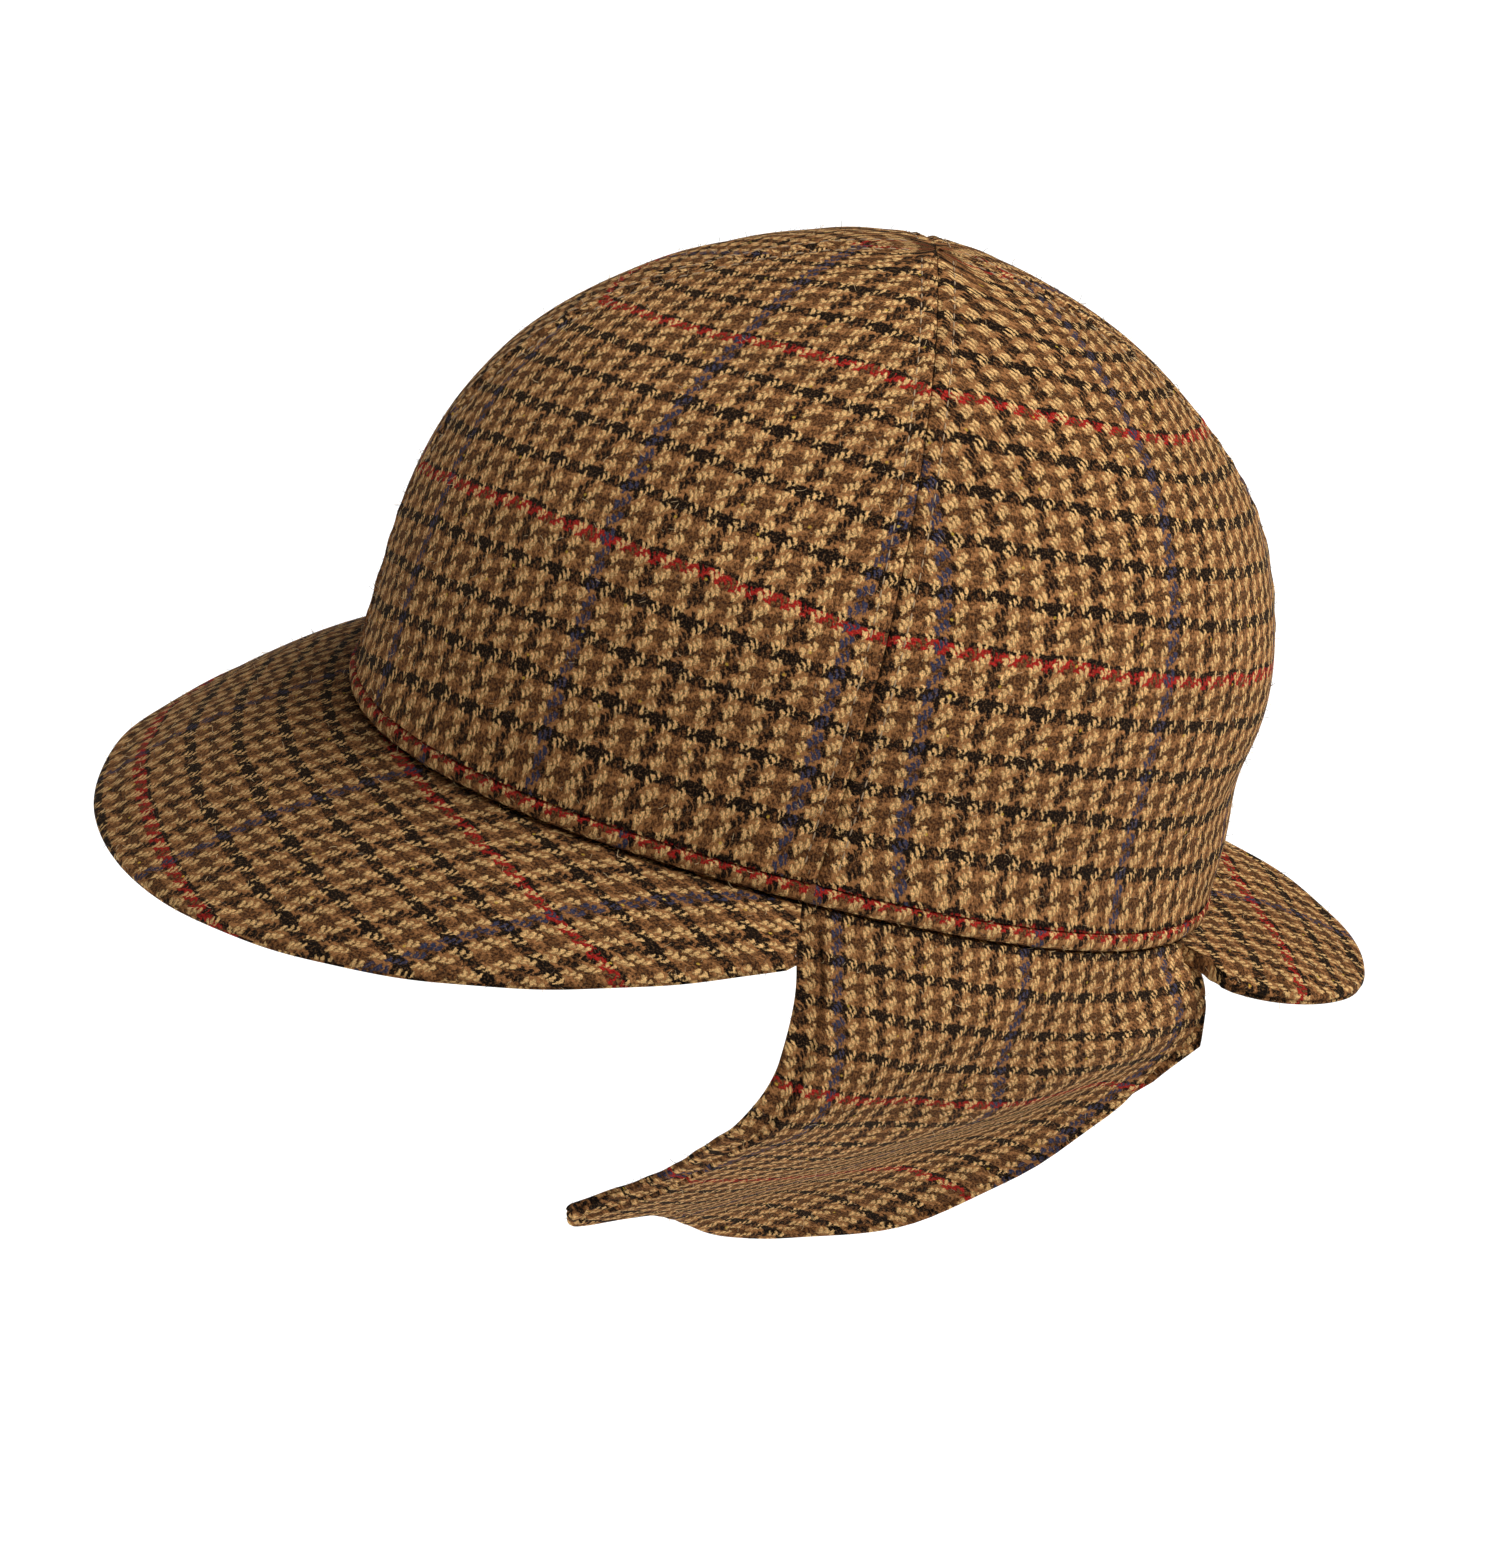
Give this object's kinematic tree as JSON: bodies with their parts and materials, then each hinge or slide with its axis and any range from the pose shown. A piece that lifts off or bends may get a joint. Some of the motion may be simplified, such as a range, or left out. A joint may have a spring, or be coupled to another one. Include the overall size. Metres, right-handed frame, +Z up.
{
  "type": "deerstalker hat",
  "caption": "Tweed deerstalker hat with a four-panel crown, rolled base, front and rear peaks and two hanging ear flaps.",
  "frame": {"origin": "middle of the head opening, in the plane through the front and back ends of the seam between crown and peaks", "axes": "+Z up through the crown, the wearer looks along -Y, the wearer's left is +X"},
  "size_m": [0.2262, 0.3028, 0.2567],
  "materials": {
    "crown_tweed": "matte wool tweed, houndstooth weave with a red and blue overcheck",
    "roll_tweed": "matte wool tweed, rolled and stitched",
    "peak_tweed": "matte wool tweed over a stiffener",
    "flap_tweed": "matte wool tweed, two layers"
  },
  "bodies": {
    "root": {"crown_front_left": "crown_tweed", "crown_front_right": "crown_tweed", "crown_rear_left": "crown_tweed", "crown_rear_right": "crown_tweed", "base_roll": "roll_tweed", "front_peak": "peak_tweed", "rear_peak": "peak_tweed", "ear_flap_left": "flap_tweed", "ear_flap_right": "flap_tweed"}
  },
  "joints": []
}
